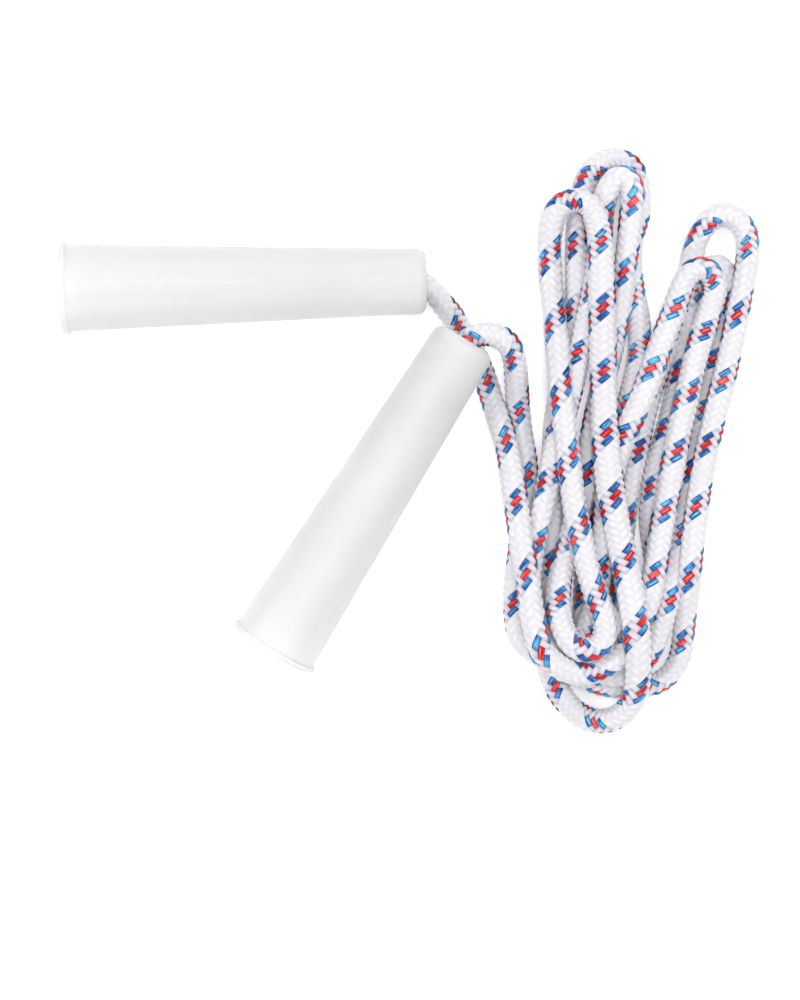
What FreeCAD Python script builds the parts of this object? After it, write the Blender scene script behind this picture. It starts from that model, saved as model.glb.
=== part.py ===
import FreeCAD, Part
import math
import os
import Sketcher
from FreeCAD import Vector, Rotation, Placement

# Skipping rope: one braided rope with a hollow plastic handle threaded on each
# end. Each end of the rope comes in through a hole in the narrow end of its
# handle, runs straight up the middle and is stopped there by an overhand knot.
# The rope between the handles lies folded up in a loose hank on the floor.
# +X to the right, +Y along the hank, +Z up from the floor, millimetres.
# The origin is the middle of the box round the two handles, at the floor.

doc = FreeCAD.newDocument("skipping_rope")

# ---------------------------------------------------------------- sizes
SIZES = [
    ("handle_length", 111.5),      # narrow face to mouth
    ("narrow_radius", 9.95),       # outside, at the narrow face
    ("wide_radius", 13.35),        # outside, under the lip
    ("lip_radius", 14.35),         # outside of the rolled lip at the mouth
    ("lip_height", 1.8),
    ("lip_round", 0.75),
    ("wall", 1.3),
    ("end_wall", 1.5),
    ("hole_radius", 6.9),          # the rope passes here with room to turn
    ("shoulder_round", 2.7),       # outside edge of the narrow end
    ("inner_round", 1.4),
    ("rope_radius", 3.8),
    ("knot_radius", 8.3),
    ("knot_half_length", 8.5),
    ("knot_a_depth", 31.0),        # knot centre, measured in from the narrow face
    ("knot_b_depth", 17.0),
    ("core_start", 5.0),           # where the straight stretch takes over, inside the face
    ("tail_length", 12.0),
    ("knot_bite", 1.5),            # how far the straight stretches run into the knot
    ("deck_low", 7.6),             # hank height where one strand lies on the floor
    ("deck_mid", 14.6),            # where two strands cross
    ("deck_top", 21.8),            # where three strands cross
]
sheet = doc.addObject("Spreadsheet::Sheet", "Sizes")
for row, (alias, value) in enumerate(SIZES, start=1):
    sheet.set("A%d" % row, alias)
    sheet.set("B%d" % row, str(value))
    sheet.setAlias("B%d" % row, alias)
doc.recompute()


def size(alias):
    return float(sheet.get(alias))


# ---------------------------------------------------------------- where the handles lie
# Each handle is drawn with its narrow face at its own origin and its axis along
# its own +Z, towards the mouth. It is then laid down: yaw is the heading of the
# narrow-to-mouth direction and rise is how far the mouth end climbs.
HANDLE_POSES = {
    "a": {"face": Vector(46.24, 54.27, 9.913), "yaw": -178.723, "rise": 2.301},
    "b": {"face": Vector(58.39, 35.68, 17.400), "yaw": -122.020, "rise": -1.5816},
}


def axis_of(side):
    pose = HANDLE_POSES[side]
    yaw = math.radians(pose["yaw"])
    rise = math.radians(pose["rise"])
    return Vector(math.cos(yaw) * math.cos(rise), math.sin(yaw) * math.cos(rise), math.sin(rise))


def place_along(side, depth):
    """Placement whose +Z runs up the handle axis, at a depth in from the narrow face."""
    axis = axis_of(side)
    return Placement(HANDLE_POSES[side]["face"] + axis * depth, Rotation(Vector(0, 0, 1), axis))


def origin_plane(body, role):
    for feature in body.Origin.OriginFeatures:
        if feature.Role == role:
            return feature
    raise RuntimeError("no plane " + role)


def find_edge(shape, radius, height):
    """Name of the circular edge of this radius whose centre is at this height."""
    for number, edge in enumerate(shape.Edges, start=1):
        curve = edge.Curve
        if curve.TypeId == "Part::GeomCircle":
            if abs(curve.Radius - radius) < 0.02 and abs(curve.Center.z - height) < 0.02:
                return "Edge%d" % number
    raise RuntimeError("no edge of radius %.2f at %.2f" % (radius, height))


# ---------------------------------------------------------------- handles
# A moulded tapered tube with a rolled lip round the open mouth and a thin end
# wall with one round hole at the narrow end: a profile turned about the axis.
def make_handle(label, side):
    body = doc.addObject("PartDesign::Body", label)
    body.Label = label
    sketch = body.newObject("Sketcher::SketchObject", label + "_profile")
    sketch.AttachmentSupport = [(origin_plane(body, "XZ_Plane"), "")]
    sketch.MapMode = "FlatFace"
    length = size("handle_length")
    hole = size("hole_radius")
    narrow = size("narrow_radius")
    wide = size("wide_radius")
    lip = size("lip_radius")
    lip_h = size("lip_height")
    wall = size("wall")
    end = size("end_wall")
    corners = [
        ("hole_outer", hole, 0.0, "Sizes.hole_radius", None),
        ("shoulder", narrow, 0.0, "Sizes.narrow_radius", None),
        ("lip_root", wide, length - lip_h, "Sizes.wide_radius", "Sizes.handle_length - Sizes.lip_height"),
        ("lip_under", lip, length - lip_h, "Sizes.lip_radius", "Sizes.handle_length - Sizes.lip_height"),
        ("lip_over", lip, length, "Sizes.lip_radius", "Sizes.handle_length"),
        ("mouth", wide - wall, length, "Sizes.wide_radius - Sizes.wall", "Sizes.handle_length"),
        ("floor_edge", narrow - wall, end, "Sizes.narrow_radius - Sizes.wall", "Sizes.end_wall"),
        ("hole_inner", hole, end, "Sizes.hole_radius", "Sizes.end_wall"),
    ]
    points = [Vector(c[1], c[2], 0) for c in corners]
    count = len(points)
    for i in range(count):
        sketch.addGeometry(Part.LineSegment(points[i], points[(i + 1) % count]), False)
    for i in range(count):
        sketch.addConstraint(Sketcher.Constraint("Coincident", i, 2, (i + 1) % count, 1))
    for i, (name, radius, height, radius_cell, height_cell) in enumerate(corners):
        index = sketch.addConstraint(Sketcher.Constraint("DistanceX", -1, 1, i, 1, radius))
        sketch.renameConstraint(index, name + "_radius")
        sketch.setExpression("Constraints." + name + "_radius", radius_cell)
        if height_cell is None:
            sketch.addConstraint(Sketcher.Constraint("PointOnObject", i, 1, -1))
        else:
            index = sketch.addConstraint(Sketcher.Constraint("DistanceY", -1, 1, i, 1, height))
            sketch.renameConstraint(index, name + "_height")
            sketch.setExpression("Constraints." + name + "_height", height_cell)
    doc.recompute()
    turned = body.newObject("PartDesign::Revolution", label + "_wall")
    turned.Profile = sketch
    turned.ReferenceAxis = (sketch, ["V_Axis"])
    turned.Angle = 360.0
    doc.recompute()
    shoulder = body.newObject("PartDesign::Fillet", label + "_shoulder_round")
    shoulder.Base = (turned, [find_edge(turned.Shape, narrow, 0.0)])
    shoulder.Radius = size("shoulder_round")
    shoulder.setExpression("Radius", "Sizes.shoulder_round")
    doc.recompute()
    inner = body.newObject("PartDesign::Fillet", label + "_inner_round")
    inner.Base = (shoulder, [find_edge(shoulder.Shape, narrow - wall, end)])
    inner.Radius = size("inner_round")
    inner.setExpression("Radius", "Sizes.inner_round")
    doc.recompute()
    rim = body.newObject("PartDesign::Fillet", label + "_lip_round")
    rim.Base = (inner, [find_edge(inner.Shape, lip, length), find_edge(inner.Shape, lip, length - lip_h)])
    rim.Radius = size("lip_round")
    rim.setExpression("Radius", "Sizes.lip_round")
    doc.recompute()
    body.Placement = place_along(side, 0.0)
    return body


# ---------------------------------------------------------------- rope ends inside the handles
def make_rod(label, side, start, length_cell):
    """A straight stretch of rope up the handle axis, from a depth inwards."""
    rod = doc.addObject("Part::Cylinder", label)
    rod.Label = label
    rod.setExpression("Radius", "Sizes.rope_radius")
    rod.setExpression("Height", length_cell)
    rod.Placement = place_along(side, start)
    return rod


def make_knot(label, side, depth):
    """The outer shape of an overhand knot pulled up on itself."""
    knot = doc.addObject("Part::Ellipsoid", label)
    knot.Label = label
    knot.setExpression("Radius1", "Sizes.knot_half_length")
    knot.setExpression("Radius2", "Sizes.knot_radius")
    knot.setExpression("Radius3", "Sizes.knot_radius")
    knot.Placement = place_along(side, depth)
    return knot


# ---------------------------------------------------------------- leads
# Each lead is the rope from inside the hole, round its bend and down to the
# hank. Straight runs are joined by tangent arcs, each as large as its runs allow.
def rounded_wire(points, name):
    edges = []
    last = points[0]
    radii = []
    for i in range(1, len(points) - 1):
        a, b, c = points[i - 1], points[i], points[i + 1]
        back = (a - b)
        ahead = (c - b)
        reach = 0.45 * min(back.Length, ahead.Length)
        back.normalize()
        ahead.normalize()
        turn = math.pi - back.getAngle(ahead)
        radius = reach / math.tan(turn / 2.0)
        radii.append(radius)
        start = b + back * reach
        finish = b + ahead * reach
        inward = back + ahead
        inward.normalize()
        centre_distance = math.sqrt(radius * radius + reach * reach)
        middle = b + inward * (centre_distance - radius)
        edges.append(Part.LineSegment(last, start).toShape())
        edges.append(Part.Arc(start, middle, finish).toShape())
        last = finish
    edges.append(Part.LineSegment(last, points[-1]).toShape())
    print("%s radii %s" % (name, " ".join("%.1f" % r for r in radii)))
    return Part.Wire(edges)


def make_lead(label, side, route, straight):
    axis = axis_of(side)
    face = HANDLE_POSES[side]["face"]
    points = [face + axis * size("core_start"), face + axis * straight] + [Vector(*p) for p in route]
    path = doc.addObject("Part::Feature", label + "_path")
    path.Shape = rounded_wire(points, label)
    ring = doc.addObject("Part::Circle", label + "_section")
    ring.setExpression("Radius", "Sizes.rope_radius")
    ring.Placement = Placement(points[0], Rotation(Vector(0, 0, 1), points[1] - points[0]))
    doc.recompute()
    lead = doc.addObject("Part::Sweep", label)
    lead.Label = label
    lead.Sections = [ring]
    lead.Spine = (path, ["Edge%d" % (n + 1) for n in range(len(path.Shape.Edges))])
    lead.Solid = True
    lead.Frenet = False
    doc.recompute()
    expected = math.pi * size("rope_radius") ** 2 * path.Shape.Length
    print("%s length %.1f volume %.0f expected %.0f" % (label, path.Shape.Length, lead.Shape.Volume, expected))
    return lead


LEAD_A = [
    (45.66, 53.51, 9.94), (47.99, 51.81, 9.75), (50.26, 48.86, 9.20), (52.42, 46.20, 8.00),
    (54.94, 43.27, 5.70),
    (57.64, 39.17, 4.20), (60.33, 34.46, 3.80), (62.67, 29.16, 3.80), (65.04, 23.67, 3.80),
    (67.04, 17.07, 3.80),
]
LEAD_B = [
    (60.27, 36.50, 17.40), (63.41, 37.52, 17.45), (66.71, 37.40, 17.30), (69.76, 36.13, 16.60),
    (72.04, 33.92, 15.40), (73.29, 30.97, 13.60), (73.99, 26.57, 10.30), (74.44, 21.57, 6.90),
    (74.84, 16.67, 4.60),
]

# ---------------------------------------------------------------- hank
# The folded rope is one solid of its outer shape, in three decks: where one
# strand lies on the floor, where two cross and where three cross.
DECK_LOW = [
    (62.94, 20.17), (64.04, 15.27), (65.28, 10.12), (67.46, 4.52), (69.01, -2.64), (70.26, -13.54),
    (71.81, -25.37), (72.13, -32.22), (70.57, -42.18), (70.26, -48.41), (70.88, -54.01), (73.37, -58.99),
    (78.66, -62.73), (82.09, -66.15), (83.64, -70.82), (85.51, -75.18), (88.63, -79.23), (92.36, -82.65),
    (96.72, -85.45), (100.46, -86.39), (104.50, -85.77), (108.86, -83.59), (112.60, -80.16), (115.40, -76.43),
    (121.63, -72.69), (125.98, -69.58), (128.79, -64.60), (130.34, -57.12), (131.59, -44.67), (132.83, -32.22),
    (134.08, -19.77), (135.64, -7.31), (138.13, 5.14), (141.24, 17.59), (144.35, 30.67), (147.15, 43.12),
    (149.33, 52.46), (150.58, 60.55), (150.27, 68.03), (148.40, 73.01), (145.29, 76.74), (141.24, 78.92),
    (136.57, 79.23), (132.52, 77.37), (129.10, 73.63), (126.92, 68.03), (125.05, 63.05), (122.56, 58.06),
    (120.69, 50.59), (117.58, 40.01), (116.33, 48.72), (116.96, 67.40), (116.64, 79.86), (115.40, 86.08),
    (112.91, 91.38), (109.17, 95.11), (103.88, 96.36), (98.90, 95.11), (94.85, 91.69), (92.05, 87.02),
    (91.12, 83.28), (87.69, 82.97), (84.27, 81.10), (82.09, 77.99), (80.84, 73.01), (80.53, 65.54),
    (81.15, 57.44), (82.09, 48.10), (82.71, 38.76), (83.33, 29.42), (83.33, 16.97), (82.71, 5.14),
    (81.47, -9.18), (80.84, -1.71), (79.91, 6.07), (78.74, 19.37), (70.94, 19.37), (70.24, 17.67),
]
DECK_MID = [
    (107.92, 89.35), (112.24, 86.57), (114.09, 80.41), (113.17, 72.39), (111.32, 60.05), (110.39, 50.79),
    (116.87, 41.54), (119.34, 49.56), (122.11, 57.58), (126.43, 61.59), (131.37, 62.21), (136.30, 60.05),
    (139.39, 55.11), (138.46, 46.47), (134.45, 29.82), (129.82, 10.08), (126.43, -6.58), (123.96, -19.54),
    (121.49, -35.58), (118.41, -47.92), (113.78, -58.10), (107.61, -65.50), (99.90, -70.43), (92.19, -70.74),
    (85.10, -67.97), (79.54, -62.72), (75.84, -52.85), (73.37, -39.59), (71.52, -25.71), (69.98, -14.29),
    (69.06, -5.35), (73.37, -4.11), (77.08, -13.37), (79.54, -19.54), (81.70, -4.11), (83.24, 9.77),
    (84.17, 22.11), (82.94, 34.44), (81.70, 48.32), (80.78, 60.05), (81.09, 70.53), (82.94, 77.01),
    (87.56, 81.33), (94.66, 82.56), (100.52, 83.49), (103.60, 87.81),
]
DECK_TOP = [
    (92.24, 81.73), (98.03, 79.59), (101.70, 74.71), (103.22, 66.17), (103.53, 47.86), (103.83, 23.45),
    (104.14, 5.14), (105.97, -13.17), (109.63, -31.48), (112.07, -46.73), (113.90, -58.94), (112.51, -66.09),
    (110.46, -68.14), (107.80, -67.31), (105.97, -58.94), (103.22, -55.89), (99.26, -61.07), (93.15, -62.60),
    (87.05, -59.55), (83.39, -52.83), (82.78, -43.68), (84.61, -35.14), (87.05, -27.81), (87.05, -13.17),
    (84.91, -1.57), (84.61, 8.19), (87.05, 17.35), (93.15, 11.24), (94.98, 23.45), (95.29, 47.86),
    (95.29, 66.17), (93.15, 71.66), (90.71, 74.71), (88.88, 78.37),
]


def make_hank(label):
    body = doc.addObject("PartDesign::Body", label)
    body.Label = label
    pad = None
    for name, outline, cell in (("low", DECK_LOW, "Sizes.deck_low"), ("mid", DECK_MID, "Sizes.deck_mid"),
                                ("top", DECK_TOP, "Sizes.deck_top")):
        sketch = body.newObject("Sketcher::SketchObject", label + "_" + name + "_outline")
        sketch.AttachmentSupport = [(origin_plane(body, "XY_Plane"), "")]
        sketch.MapMode = "FlatFace"
        points = [Vector(x, y, 0) for x, y in outline]
        count = len(points)
        sketch.addGeometry([Part.LineSegment(points[i], points[(i + 1) % count]) for i in range(count)], False)
        sketch.addConstraint([Sketcher.Constraint("Coincident", i, 2, (i + 1) % count, 1) for i in range(count)])
        doc.recompute()
        pad = body.newObject("PartDesign::Pad", label + "_" + name)
        pad.Profile = sketch
        pad.setExpression("Length", cell)
        doc.recompute()
    return body


# ---------------------------------------------------------------- build
parts = []
parts.append(make_handle("handle_a", "a"))
parts.append(make_handle("handle_b", "b"))
parts.append(make_hank("rope_hank"))
parts.append(make_lead("rope_lead_a", "a", LEAD_A, 3.0))
parts.append(make_lead("rope_lead_b", "b", LEAD_B, 1.5))
for side in ("a", "b"):
    depth = size("knot_%s_depth" % side)
    far = depth + size("knot_half_length") - size("knot_bite")
    parts.append(make_rod(
        "rope_core_" + side, side, size("core_start") + 0.1,
        "Sizes.knot_%s_depth - Sizes.knot_half_length + Sizes.knot_bite - Sizes.core_start - 0.1" % side))
    parts.append(make_knot("stopper_knot_" + side, side, depth))
    parts.append(make_rod("rope_tail_" + side, side, far, "Sizes.tail_length"))
doc.recompute()

# ---------------------------------------------------------------- check and write
bad = [o.Label for o in doc.Objects if "Invalid" in o.State or "Error" in o.State]
if bad:
    raise RuntimeError("failed objects: " + ", ".join(bad))
for part in parts:
    shape = part.Shape
    if shape.isNull() or not shape.isValid() or len(shape.Solids) != 1:
        raise RuntimeError("bad shape: %s (%d solids)" % (part.Label, len(shape.Solids)))
    box = shape.BoundBox
    print("%-16s volume %9.1f  x %8.2f %8.2f  y %8.2f %8.2f  z %7.2f %7.2f" % (
        part.Label, shape.Volume, box.XMin, box.XMax, box.YMin, box.YMax, box.ZMin, box.ZMax))

os.makedirs("parts", exist_ok=True)
for part in parts:
    part.Shape.exportStep("parts/" + part.Label + ".step")
print("wrote %d parts" % len(parts))
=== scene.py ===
"""Skipping rope with two flared plastic handles, folded into a loose hank on a pale floor.

The rope's route repeats the points of the CAD leads and follows the hank strand by strand.
A sixteen-strand braid is laid along the spline of that route. Everything is in metres.
"""

import math

import bpy
import numpy as np
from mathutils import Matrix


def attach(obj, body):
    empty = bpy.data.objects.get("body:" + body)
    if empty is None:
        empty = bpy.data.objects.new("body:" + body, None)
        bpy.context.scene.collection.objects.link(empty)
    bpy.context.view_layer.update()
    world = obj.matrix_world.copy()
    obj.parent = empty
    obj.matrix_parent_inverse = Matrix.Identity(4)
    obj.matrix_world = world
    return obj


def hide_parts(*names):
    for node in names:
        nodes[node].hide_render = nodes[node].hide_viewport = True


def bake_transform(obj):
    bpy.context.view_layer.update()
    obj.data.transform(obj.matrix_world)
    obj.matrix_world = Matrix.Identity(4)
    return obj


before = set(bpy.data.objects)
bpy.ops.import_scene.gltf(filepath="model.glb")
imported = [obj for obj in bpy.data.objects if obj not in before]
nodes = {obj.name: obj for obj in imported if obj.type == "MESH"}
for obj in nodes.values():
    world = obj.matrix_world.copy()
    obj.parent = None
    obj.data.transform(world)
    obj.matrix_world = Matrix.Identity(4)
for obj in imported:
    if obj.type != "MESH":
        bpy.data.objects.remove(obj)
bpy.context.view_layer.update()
scene = bpy.context.scene

# ------------------------------------------------------------------ camera
cam_data = bpy.data.cameras.new("camera")
cam = bpy.data.objects.new("camera", cam_data)
scene.collection.objects.link(cam)
cam.location = (0.04006, 0.00514, 0.659)
cam.rotation_euler = (0.0, 0.0, 0.0)
cam_data.lens = 75.6
cam_data.sensor_width = 36.0
cam_data.shift_x = -0.006
cam_data.shift_y = -0.060
cam_data.clip_start = 0.01
cam_data.clip_end = 20.0
cam_data.dof.use_dof = False
scene.camera = cam

# ------------------------------------------------------------------ route of the rope
# Each handle's narrow face and the direction from it to the mouth.
FACE_A = np.array((0.04624, 0.05427, 0.009913))
AXIS_A = np.array((-0.99895, -0.02227, 0.04015))
FACE_B = np.array((0.05839, 0.03568, 0.017400))
AXIS_B = np.array((-0.53001, -0.84754, -0.02760))
KNOT_A_DEPTH, KNOT_B_DEPTH = 0.031, 0.017
KNOT_HALF = 0.0085

LEAD_A = [
    (0.04566, 0.05351, 0.00994), (0.04799, 0.05181, 0.00975), (0.05026, 0.04886, 0.00920),
    (0.05242, 0.04620, 0.00800), (0.05494, 0.04327, 0.00570), (0.05764, 0.03917, 0.00420),
    (0.06033, 0.03446, 0.00380), (0.06267, 0.02916, 0.00380), (0.06504, 0.02367, 0.00380),
    (0.06704, 0.01707, 0.00380),
]
LEAD_B = [
    (0.06027, 0.03650, 0.01740), (0.06341, 0.03752, 0.01745), (0.06671, 0.03740, 0.01730),
    (0.06976, 0.03613, 0.01660), (0.07204, 0.03392, 0.01540), (0.07329, 0.03097, 0.01360),
    (0.07399, 0.02657, 0.01030), (0.07444, 0.02157, 0.00690), (0.07484, 0.01667, 0.00460),
]
HANK = [
    # down the left side
    (0.06896, 0.01136, 0.00616), (0.07105, 0.00483, 0.00790), (0.07257, -0.00260, 0.00866),
    (0.07403, -0.01432, 0.01024), (0.07538, -0.02557, 0.01379), (0.07744, -0.03653, 0.01528),
    (0.07800, -0.04382, 0.01618), (0.07883, -0.04981, 0.01766), (0.08028, -0.05579, 0.01899),
    # round the lower left
    (0.08117, -0.05881, 0.01930), (0.08454, -0.06250, 0.01897), (0.08860, -0.06507, 0.01774),
    (0.09329, -0.06645, 0.01629), (0.09797, -0.06594, 0.01534), (0.10173, -0.06420, 0.01449),
    (0.10524, -0.06158, 0.01313), (0.10911, -0.05651, 0.01144),
    # up the right side, in front
    (0.11251, -0.04974, 0.01135), (0.11519, -0.04259, 0.01217), (0.11713, -0.03340, 0.01138),
    (0.11820, -0.02729, 0.01022), (0.11952, -0.02021, 0.00948), (0.12081, -0.01342, 0.00909),
    (0.12206, -0.00662, 0.00899), (0.12327, 0.00050, 0.00919), (0.12432, 0.00669, 0.00940),
    (0.12554, 0.01287, 0.00953), (0.12677, 0.01843, 0.00957), (0.12817, 0.02462, 0.00956),
    (0.12958, 0.03081, 0.00942), (0.13133, 0.03670, 0.00905), (0.13341, 0.04229, 0.00859),
    (0.13480, 0.04786, 0.00862),
    # over the front loop
    (0.13598, 0.05155, 0.00898), (0.13530, 0.05554, 0.00944), (0.13309, 0.05799, 0.00975),
    (0.12998, 0.05829, 0.00986), (0.12690, 0.05613, 0.00979), (0.12507, 0.05182, 0.00961),
    # down and under the middle strand
    (0.12353, 0.04688, 0.00956), (0.12120, 0.04069, 0.00966), (0.11880, 0.03448, 0.01031),
    (0.11661, 0.02824, 0.01184), (0.11416, 0.02205, 0.01307), (0.11183, 0.01621, 0.01326),
    (0.10913, 0.01068, 0.01269), (0.10679, 0.00514, 0.01149), (0.10448, -0.00258, 0.00996),
    (0.10249, -0.01031, 0.00978), (0.10127, -0.01804, 0.00961), (0.10066, -0.02578, 0.00945),
    (0.10021, -0.03445, 0.00929), (0.09926, -0.04309, 0.00955), (0.09713, -0.05039, 0.01094),
    # hidden turn at the bottom
    (0.09454, -0.05673, 0.01240), (0.09048, -0.05942, 0.01319), (0.08522, -0.05876, 0.01364),
    (0.08100, -0.05335, 0.01236),
    # up behind
    (0.07898, -0.04552, 0.01007), (0.07810, -0.03754, 0.00924), (0.07904, -0.02951, 0.00912),
    (0.08105, -0.02178, 0.00906), (0.08303, -0.01403, 0.00952), (0.08441, -0.00660, 0.00981),
    (0.08579, 0.00050, 0.00986), (0.08765, 0.00669, 0.00978), (0.08921, 0.01287, 0.00965),
    (0.09076, 0.01905, 0.00956), (0.09200, 0.02524, 0.00953), (0.09324, 0.03142, 0.00951),
    (0.09510, 0.03761, 0.00940), (0.09699, 0.04536, 0.00904), (0.09860, 0.05315, 0.00832),
    (0.09993, 0.06098, 0.00730), (0.10061, 0.06818, 0.00666), (0.10093, 0.07502, 0.00656),
    # over the second loop
    (0.10181, 0.08055, 0.00709), (0.10375, 0.08479, 0.00790), (0.10633, 0.08689, 0.00847),
    (0.10907, 0.08607, 0.00889), (0.11057, 0.08214, 0.00934),
    # down between the middle strands
    (0.10992, 0.07624, 0.00959), (0.10929, 0.07004, 0.00974), (0.10836, 0.06232, 0.00973),
    (0.10719, 0.05309, 0.00911), (0.10611, 0.04545, 0.00758), (0.10478, 0.03781, 0.00531),
    (0.10335, 0.03008, 0.00404), (0.10148, 0.02229, 0.00409), (0.09947, 0.01447, 0.00557),
    (0.09776, 0.00669, 0.00735), (0.09646, -0.00106, 0.00797), (0.09519, -0.00880, 0.00834),
    (0.09396, -0.01499, 0.00827), (0.09243, -0.02120, 0.00808), (0.09053, -0.02737, 0.00853),
    (0.08858, -0.03349, 0.00974), (0.08720, -0.03954, 0.01173), (0.08671, -0.04550, 0.01432),
    # round the bottom of the front loop
    (0.08714, -0.05050, 0.01674), (0.08885, -0.05524, 0.01840), (0.09188, -0.05826, 0.01868),
    (0.09557, -0.05922, 0.01827), (0.09866, -0.05835, 0.01779), (0.10054, -0.05595, 0.01731),
    (0.10120, -0.05234, 0.01676),
    # up the middle
    (0.10004, -0.04750, 0.01611), (0.09797, -0.04143, 0.01532), (0.09590, -0.03475, 0.01445),
    (0.09411, -0.02710, 0.01391), (0.09256, -0.01942, 0.01406), (0.09133, -0.01175, 0.01403),
    (0.09038, -0.00406, 0.01445), (0.08938, 0.00361, 0.01543), (0.08845, 0.01126, 0.01565),
    (0.08757, 0.01893, 0.01510), (0.08704, 0.02663, 0.01395), (0.08661, 0.03443, 0.01133),
    (0.08626, 0.04235, 0.00761), (0.08550, 0.05027, 0.00514), (0.08494, 0.05812, 0.00430),
    (0.08457, 0.06583, 0.00515),
    # over the left loop
    (0.08509, 0.07191, 0.00659), (0.08656, 0.07643, 0.00783), (0.08927, 0.07881, 0.00878),
    (0.09291, 0.07932, 0.00973), (0.09623, 0.07797, 0.01070), (0.09860, 0.07446, 0.01176),
    # down the middle, on top
    (0.09976, 0.06915, 0.01254), (0.10003, 0.06511, 0.01294), (0.10012, 0.05890, 0.01362),
    (0.10021, 0.05117, 0.01435), (0.10037, 0.04197, 0.01423), (0.10068, 0.03283, 0.01259),
    (0.10097, 0.02364, 0.01112), (0.10106, 0.01746, 0.01177), (0.10119, 0.00514, 0.01528),
    (0.10178, -0.00099, 0.01558), (0.10238, -0.00711, 0.01572), (0.10329, -0.01323, 0.01571),
    (0.10428, -0.01938, 0.01508), (0.10574, -0.02555, 0.01429), (0.10714, -0.03170, 0.01410),
    (0.10827, -0.03778, 0.01496), (0.10905, -0.04381, 0.01628), (0.11005, -0.04988, 0.01692),
    (0.11066, -0.05598, 0.01699), (0.11105, -0.06218, 0.01620), (0.11134, -0.06859, 0.01360),
    # round the lowest loop
    (0.11075, -0.07420, 0.01051), (0.10826, -0.07888, 0.00773), (0.10442, -0.08191, 0.00588),
    (0.09955, -0.08269, 0.00470), (0.09431, -0.08091, 0.00404), (0.08996, -0.07688, 0.00386),
    (0.08653, -0.07158, 0.00385), (0.08435, -0.06503, 0.00385),
    # up, lowest of all
    (0.08372, -0.05879, 0.00385), (0.08403, -0.05100, 0.00385), (0.08466, -0.04164, 0.00385),
    (0.08528, -0.03228, 0.00385), (0.08559, -0.02293, 0.00385), (0.08559, -0.01357, 0.00385),
    (0.08559, -0.00422, 0.00385), (0.08622, 0.00514, 0.00385), (0.08715, 0.01450, 0.00385),
    (0.08902, 0.02385, 0.00385), (0.09121, 0.03321, 0.00385), (0.09277, 0.04100, 0.00385),
    (0.09339, 0.04880, 0.00385), (0.09339, 0.05816, 0.00385), (0.09339, 0.06439, 0.00385),
    (0.09370, 0.07063, 0.00385), (0.09401, 0.07687, 0.00385),
    # over the highest loop
    (0.09464, 0.08155, 0.00385), (0.09588, 0.08560, 0.00385), (0.09776, 0.08903, 0.00385),
    (0.10056, 0.09153, 0.00385), (0.10399, 0.09277, 0.00385), (0.10742, 0.09246, 0.00385),
    (0.11054, 0.09059, 0.00385), (0.11241, 0.08623, 0.00385), (0.11304, 0.07999, 0.00385),
    # down
    (0.11273, 0.07500, 0.00385), (0.11085, 0.07001, 0.00385), (0.10992, 0.06377, 0.00385),
    (0.11023, 0.05691, 0.00385), (0.11132, 0.04974, 0.00385), (0.11255, 0.04287, 0.00400),
    (0.11294, 0.03691, 0.00469), (0.11265, 0.03156, 0.00592), (0.11174, 0.02624, 0.00714),
    (0.11060, 0.02126, 0.00765), (0.10891, 0.01600, 0.00746), (0.10654, 0.00980, 0.00638),
    (0.10391, 0.00296, 0.00467), (0.10118, -0.00484, 0.00389), (0.09931, -0.01357, 0.00385),
    (0.09807, -0.02293, 0.00385), (0.09682, -0.03228, 0.00385), (0.09588, -0.04164, 0.00390),
    (0.09550, -0.05030, 0.00475), (0.09594, -0.05757, 0.00685), (0.09735, -0.06299, 0.00849),
    (0.10009, -0.06634, 0.00895),
    # round the bottom
    (0.10414, -0.06791, 0.00873), (0.10885, -0.06706, 0.00805), (0.11298, -0.06436, 0.00717),
    (0.11613, -0.06006, 0.00672),
    # up the right side
    (0.11810, -0.05506, 0.00711), (0.11968, -0.04938, 0.00820), (0.12131, -0.04407, 0.00881),
    (0.12274, -0.03821, 0.00851), (0.12415, -0.03210, 0.00714), (0.12532, -0.02598, 0.00528),
    (0.12641, -0.01980, 0.00415), (0.12738, -0.01357, 0.00387), (0.12832, -0.00733, 0.00385),
    (0.12957, -0.00110, 0.00385), (0.13113, 0.00514, 0.00385), (0.13237, 0.01138, 0.00385),
    (0.13362, 0.01761, 0.00385), (0.13487, 0.02385, 0.00385), (0.13612, 0.03009, 0.00385),
    (0.13767, 0.03633, 0.00385), (0.13923, 0.04256, 0.00385), (0.14017, 0.04880, 0.00385),
    # over, under the front loop
    (0.14064, 0.05192, 0.00385), (0.14033, 0.05629, 0.00385), (0.13799, 0.05940, 0.00385),
    # down, under the rest, and its hidden turn
    (0.13456, 0.05878, 0.00385), (0.13081, 0.05597, 0.00385), (0.12769, 0.05036, 0.00385),
    (0.12489, 0.04319, 0.00385), (0.12208, 0.03539, 0.00385), (0.11896, 0.02759, 0.00385),
    (0.11631, 0.02073, 0.00385), (0.11460, 0.01387, 0.00385), (0.11304, 0.00670, 0.00385),
    (0.11148, -0.00016, 0.00385), (0.10976, -0.00858, 0.00385), (0.10836, -0.01731, 0.00385),
    (0.10742, -0.02667, 0.00385), (0.10649, -0.03478, 0.00385), (0.10680, -0.04226, 0.00385),
    (0.10992, -0.04788, 0.00385), (0.11460, -0.04819, 0.00385), (0.11771, -0.04351, 0.00385),
    # up, mostly hidden
    (0.11834, -0.03603, 0.00385), (0.11725, -0.02854, 0.00385), (0.11631, -0.01981, 0.00385),
    (0.11678, -0.01201, 0.00385), (0.11803, -0.00422, 0.00385), (0.11959, 0.00140, 0.00385),
    (0.12115, 0.00670, 0.00385), (0.12255, 0.01231, 0.00385), (0.12411, 0.01824, 0.00385),
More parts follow.
